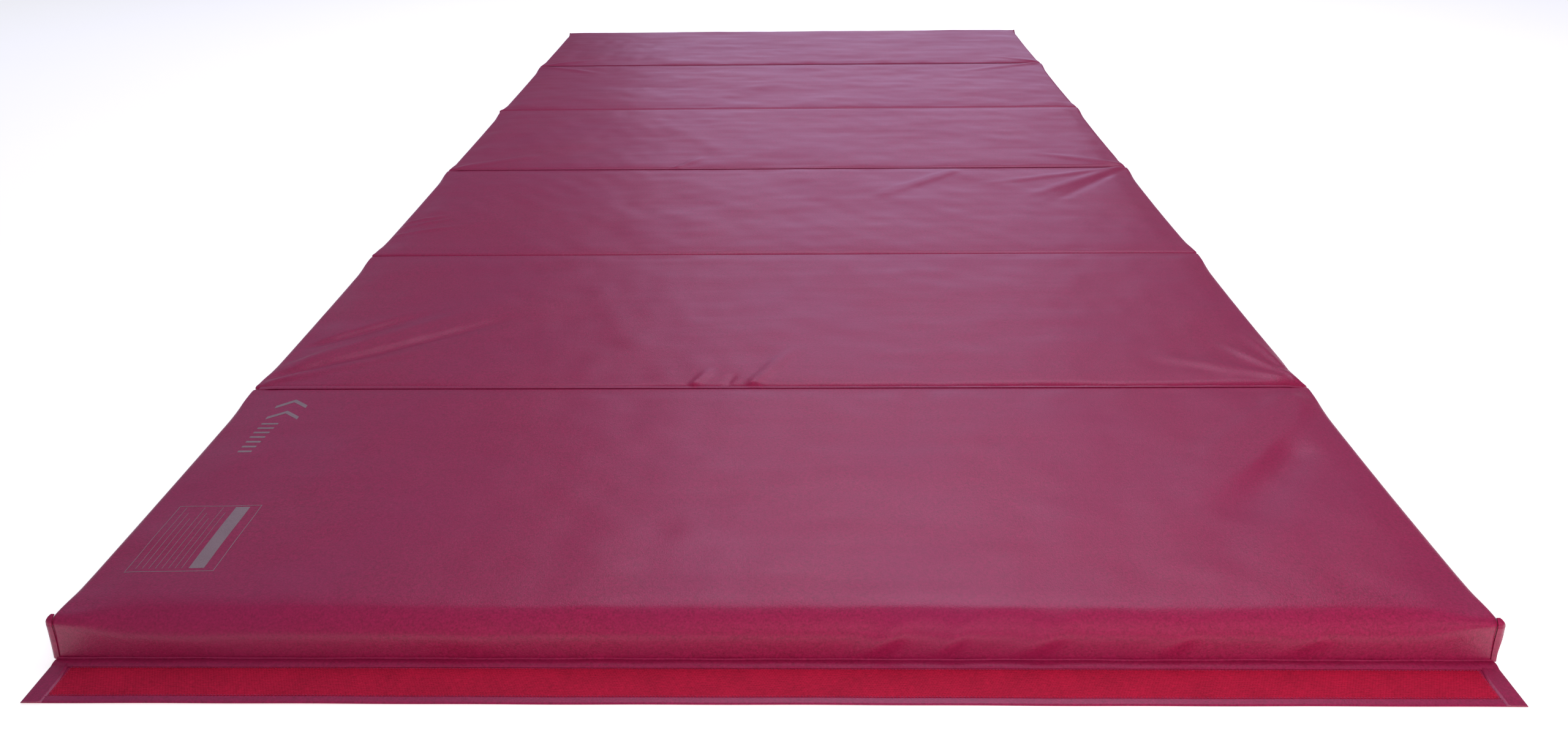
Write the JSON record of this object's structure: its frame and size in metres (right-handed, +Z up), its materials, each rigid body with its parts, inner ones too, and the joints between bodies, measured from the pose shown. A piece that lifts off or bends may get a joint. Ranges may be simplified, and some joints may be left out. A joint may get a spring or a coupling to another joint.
{
  "type": "folding landing mat",
  "caption": "Accordion-folding foam landing mat in a coated-fabric cover, with flexible webs between its panels and a hook-tape joining flap along one end.",
  "frame": {"origin": "on the floor, at the middle of the footprint of the open mat with its flap laid out", "axes": "+Y along the mat from the flap end to the far end, +X to the right seen from the flap end, +Z up"},
  "size_m": [1.8514, 3.7432, 0.0635],
  "materials": {
    "cover_fabric": "satin PVC-coated polyester with a fine grain, crimson",
    "foam": "closed-cell polyethylene foam, white, hidden inside the covers",
    "hook_tape": "woven nylon hook tape, crimson",
    "loop_tape": "brushed nylon loop tape, crimson",
    "zip_tape": "woven polyester zip tape with moulded teeth, dark crimson",
    "zip_slider": "die-cast zinc, nickel plated"
  },
  "bodies": {
    "panel_1": {"panel_1_foam_core": "foam", "panel_1_top_cover": "cover_fabric", "panel_1_bottom_cover": "cover_fabric", "panel_1_left_gusset": "cover_fabric", "panel_1_right_gusset": "cover_fabric", "panel_1_zip": "zip_tape", "fold_web_1_2": "cover_fabric", "near_end_welt": "cover_fabric", "corner_seam_near_left": "cover_fabric", "corner_seam_near_right": "cover_fabric"},
    "zip_slider_1": {"panel_1_zip_slider": "zip_slider"},
    "panel_2": {"panel_2_foam_core": "foam", "panel_2_top_cover": "cover_fabric", "panel_2_bottom_cover": "cover_fabric", "panel_2_left_gusset": "cover_fabric", "panel_2_right_gusset": "cover_fabric", "panel_2_zip": "zip_tape", "fold_web_2_3": "cover_fabric"},
    "zip_slider_2": {"panel_2_zip_slider": "zip_slider"},
    "panel_3": {"panel_3_foam_core": "foam", "panel_3_top_cover": "cover_fabric", "panel_3_bottom_cover": "cover_fabric", "panel_3_left_gusset": "cover_fabric", "panel_3_right_gusset": "cover_fabric", "panel_3_zip": "zip_tape", "fold_web_3_4": "cover_fabric"},
    "zip_slider_3": {"panel_3_zip_slider": "zip_slider"},
    "panel_4": {"panel_4_foam_core": "foam", "panel_4_top_cover": "cover_fabric", "panel_4_bottom_cover": "cover_fabric", "panel_4_left_gusset": "cover_fabric", "panel_4_right_gusset": "cover_fabric", "panel_4_zip": "zip_tape", "fold_web_4_5": "cover_fabric"},
    "zip_slider_4": {"panel_4_zip_slider": "zip_slider"},
    "panel_5": {"panel_5_foam_core": "foam", "panel_5_top_cover": "cover_fabric", "panel_5_bottom_cover": "cover_fabric", "panel_5_left_gusset": "cover_fabric", "panel_5_right_gusset": "cover_fabric", "panel_5_zip": "zip_tape", "fold_web_5_6": "cover_fabric"},
    "zip_slider_5": {"panel_5_zip_slider": "zip_slider"},
    "panel_6": {"panel_6_foam_core": "foam", "panel_6_top_cover": "cover_fabric", "panel_6_bottom_cover": "cover_fabric", "panel_6_left_gusset": "cover_fabric", "panel_6_right_gusset": "cover_fabric", "panel_6_zip": "zip_tape", "corner_seam_far_left": "cover_fabric", "corner_seam_far_right": "cover_fabric", "far_end_loop_tape": "loop_tape"},
    "zip_slider_6": {"panel_6_zip_slider": "zip_slider"},
    "flap": {"flap_sheet": "cover_fabric", "flap_left_hem": "cover_fabric", "flap_right_hem": "cover_fabric", "flap_front_hem": "cover_fabric", "flap_hook_tape": "hook_tape"}
  },
  "joints": [
    {"name": "fold_1_2", "type": "hinge", "parent": "panel_1", "child": "panel_2", "pos_m": [0, -1.1764, 0.0638], "axis": [1, 0, 0], "range_deg": [0, 180], "deforming": ["fold_web_1_2"]},
    {"name": "fold_2_3", "type": "hinge", "parent": "panel_2", "child": "panel_3", "pos_m": [0, -0.5668, -0.0003], "axis": [-1, 0, 0], "range_deg": [0, 180], "deforming": ["fold_web_2_3"]},
    {"name": "fold_3_4", "type": "hinge", "parent": "panel_3", "child": "panel_4", "pos_m": [0, 0.0428, 0.0638], "axis": [1, 0, 0], "range_deg": [0, 180], "deforming": ["fold_web_3_4"]},
    {"name": "fold_4_5", "type": "hinge", "parent": "panel_4", "child": "panel_5", "pos_m": [0, 0.6524, -0.0003], "axis": [-1, 0, 0], "range_deg": [0, 180], "deforming": ["fold_web_4_5"]},
    {"name": "fold_5_6", "type": "hinge", "parent": "panel_5", "child": "panel_6", "pos_m": [0, 1.262, 0.0638], "axis": [1, 0, 0], "range_deg": [0, 180], "deforming": ["fold_web_5_6"]},
    {"name": "flap_fold", "type": "hinge", "parent": "panel_1", "child": "flap", "pos_m": [0, -1.8, -0.00015], "axis": [-1, 0, 0], "range_deg": [-180, 90]},
    {"name": "zip_1_travel", "type": "slide", "parent": "panel_1", "child": "zip_slider_1", "axis": [0, -1, 0], "range_m": [0, 0.456]},
    {"name": "zip_2_travel", "type": "slide", "parent": "panel_2", "child": "zip_slider_2", "axis": [0, -1, 0], "range_m": [0, 0.456]},
    {"name": "zip_3_travel", "type": "slide", "parent": "panel_3", "child": "zip_slider_3", "axis": [0, -1, 0], "range_m": [0, 0.456]},
    {"name": "zip_4_travel", "type": "slide", "parent": "panel_4", "child": "zip_slider_4", "axis": [0, -1, 0], "range_m": [0, 0.456]},
    {"name": "zip_5_travel", "type": "slide", "parent": "panel_5", "child": "zip_slider_5", "axis": [0, -1, 0], "range_m": [0, 0.456]},
    {"name": "zip_6_travel", "type": "slide", "parent": "panel_6", "child": "zip_slider_6", "axis": [0, -1, 0], "range_m": [0, 0.456]}
  ]
}
